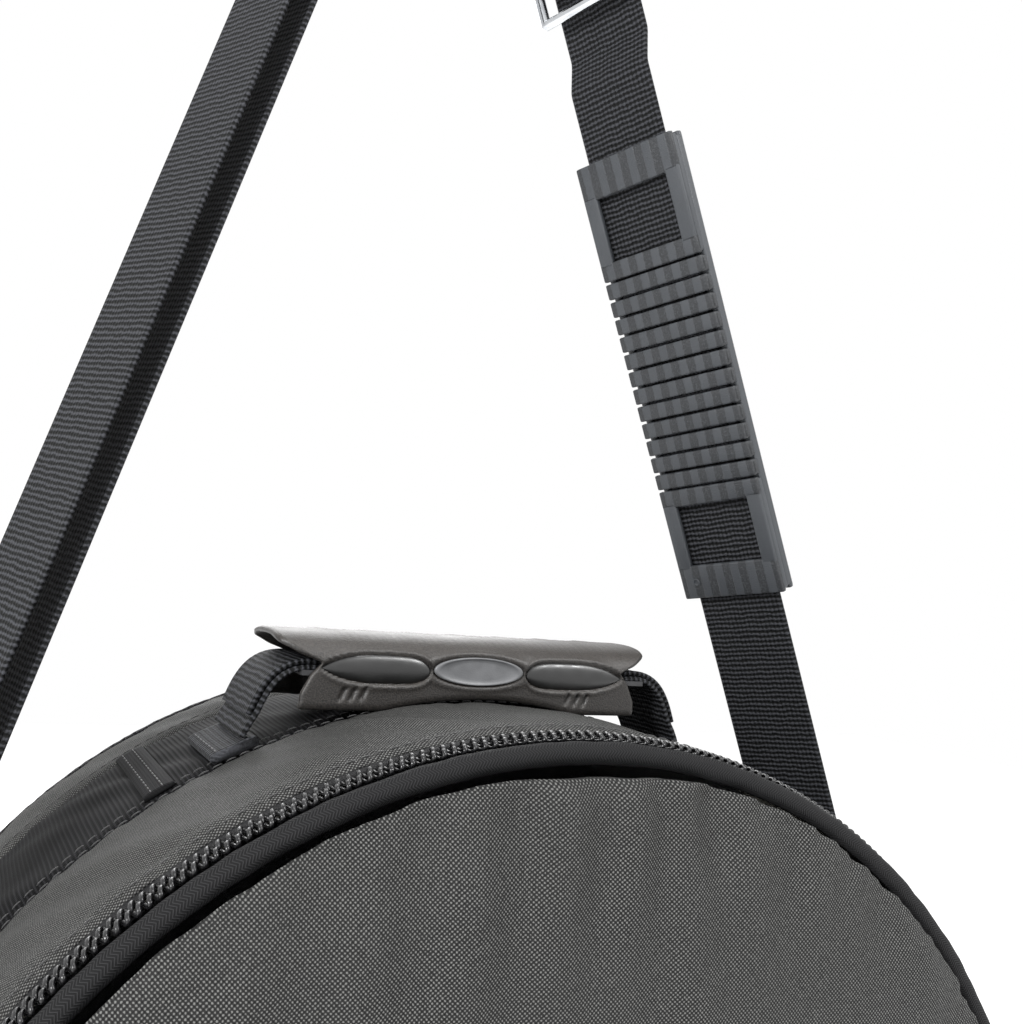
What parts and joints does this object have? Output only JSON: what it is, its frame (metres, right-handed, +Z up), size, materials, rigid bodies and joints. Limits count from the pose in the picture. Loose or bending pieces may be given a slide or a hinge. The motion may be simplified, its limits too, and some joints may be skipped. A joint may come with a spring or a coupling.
{
  "type": "skate bag",
  "caption": "Arched soft skate bag with zipped front flap, moulded carry grip, swivel snap hooks and an adjustable padded shoulder strap",
  "frame": {"origin": "on the floor, under the middle of the bag's width, on the plane through the carry handle", "axes": "+Z up, +X across the bag to the side with the parked zip sliders, -Y towards the zipped front"},
  "size_m": [0.4262, 0.1913, 0.7264],
  "materials": {
    "dimpled_polyester": "woven, dimpled dobby weave, slight sheen",
    "ribbed_polyester": "woven, ribbed",
    "base_fabric": "coated woven polyester",
    "lining_fabric": "plain woven",
    "foam": "open cell foam",
    "board": "stiff board",
    "webbing": "coarse woven webbing",
    "zip_coil": "glossy nylon coil",
    "zip_tape": "fine herringbone tape",
    "zip_metal": "dark painted zinc",
    "chrome_wire": "bright plated steel",
    "grip_plastic": "moulded, satin, fine grain",
    "badge_plastic": "moulded, satin",
    "pad_rubber": "moulded, satin",
    "piping": "corded fabric piping"
  },
  "bodies": {
    "bag": {"base_panel": "base_fabric", "base_board": "board", "base_foam": "foam", "gusset_front_strip": "dimpled_polyester", "gusset_middle_strip": "ribbed_polyester", "gusset_back_strip": "dimpled_polyester", "gusset_foam": "foam", "gusset_lining": "lining_fabric", "back_panel": "dimpled_polyester", "back_foam": "foam", "back_lining": "lining_fabric", "back_piping": "piping", "front_lower_panel": "dimpled_polyester", "zip_coil_gusset": "zip_coil", "zip_tape_gusset": "zip_tape", "zip_end_stop_left": "zip_metal", "zip_end_stop_right": "zip_metal", "handle_anchor_left": "webbing", "handle_anchor_right": "webbing", "ring_tab_left": "webbing", "ring_tab_right": "webbing"},
    "flap": {"front_panel": "dimpled_polyester", "front_foam": "foam", "front_lining": "lining_fabric", "zip_coil_flap": "zip_coil", "zip_tape_flap": "zip_tape"},
    "slider_a": {"zip_slider_a": "zip_metal"},
    "pull_a": {"zip_pull_a": "zip_metal"},
    "slider_b": {"zip_slider_b": "zip_metal"},
    "pull_b": {"zip_pull_b": "zip_metal"},
    "handle": {"grip_body": "grip_plastic", "grip_badge": "badge_plastic", "grip_keeper_plate": "grip_plastic", "handle_webbing": "webbing"},
    "ring_left": {"d_ring_left": "chrome_wire"},
    "ring_right": {"d_ring_right": "chrome_wire"},
    "strap": {"strap_webbing": "webbing", "swivel_eye_left": "chrome_wire", "swivel_eye_right": "chrome_wire"},
    "hook_left": {"snap_hook_left": "chrome_wire", "gate_pin_left": "chrome_wire", "gate_spring_left": "chrome_wire"},
    "hook_right": {"snap_hook_right": "chrome_wire", "gate_pin_right": "chrome_wire", "gate_spring_right": "chrome_wire"},
    "gate_left": {"hook_gate_left": "chrome_wire"},
    "gate_right": {"hook_gate_right": "chrome_wire"},
    "adjuster": {"strap_adjuster": "chrome_wire", "strap_sewn_end": "webbing"},
    "pad": {"shoulder_pad": "pad_rubber"}
  },
  "joints": [
    {"name": "front_flap", "type": "hinge", "parent": "bag", "child": "flap", "pos_m": [0, -0.10335, 0.036], "axis": [1, 0, 0], "range_deg": [0, 90]},
    {"name": "zip_slider_a_run", "type": "hinge", "parent": "bag", "child": "slider_a", "pos_m": [0, -0.0862, 0.185], "axis": [0, -1, 0], "range_deg": [0, 163]},
    {"name": "zip_pull_a_swing", "type": "hinge", "parent": "slider_a", "child": "pull_a", "pos_m": [0.18575, -0.0862, 0.22448], "axis": [0, -1, 0], "range_deg": [0, 150]},
    {"name": "zip_slider_b_run", "type": "slide", "parent": "bag", "child": "slider_b", "axis": [0, 0, -1], "range_m": [0, 0.105]},
    {"name": "zip_pull_b_swing", "type": "hinge", "parent": "slider_b", "child": "pull_b", "pos_m": [0.1899, -0.0862, 0.17], "axis": [0, -1, 0], "range_deg": [0, 150]},
    {"name": "handle_lift", "type": "slide", "parent": "bag", "child": "handle", "axis": [0, 0, 1], "range_m": [0, 0.014]},
    {"name": "ring_left_swing", "type": "hinge", "parent": "bag", "child": "ring_left", "pos_m": [-0.196, 0.008, 0.182], "axis": [0, 1, 0], "range_deg": [-1.5, 1.5]},
    {"name": "ring_right_swing", "type": "hinge", "parent": "bag", "child": "ring_right", "pos_m": [0.196, 0.008, 0.182], "axis": [0, 1, 0], "range_deg": [-1.5, 1.5]},
    {"name": "strap_swing", "type": "hinge", "parent": "bag", "child": "strap", "pos_m": [0, 0.008, 0.205], "axis": [1, 0, 0], "range_deg": [-18, 18]},
    {"name": "hook_left_swivel", "type": "hinge", "parent": "strap", "child": "hook_left", "pos_m": [-0.199, 0.008, 0.205], "axis": [0.2833, 0, 0.959], "range_deg": [-8, 8]},
    {"name": "hook_right_swivel", "type": "hinge", "parent": "strap", "child": "hook_right", "pos_m": [0.2052, 0.008, 0.205], "axis": [-0.3679, 0, 0.9299], "range_deg": [-8, 8]},
    {"name": "gate_left_swing", "type": "hinge", "parent": "hook_left", "child": "gate_left", "pos_m": [-0.20182, 0.008, 0.21871], "axis": [0, -1, 0], "range_deg": [0, 16], "stiffness_Nm_per_rad": 0.02, "springref_deg": -11.46},
    {"name": "gate_right_swing", "type": "hinge", "parent": "hook_right", "child": "gate_right", "pos_m": [0.20678, 0.008, 0.21891], "axis": [0, 1, 0], "range_deg": [0, 16], "stiffness_Nm_per_rad": 0.02, "springref_deg": -11.46},
    {"name": "adjuster_slide", "type": "slide", "parent": "strap", "child": "adjuster", "axis": [-0.3679, 0, 0.9299], "range_m": [-0.012, 0.012]},
    {"name": "shoulder_pad_slide", "type": "slide", "parent": "strap", "child": "pad", "axis": [-0.3679, 0, 0.9299], "range_m": [-0.06, 0.02]}
  ]
}
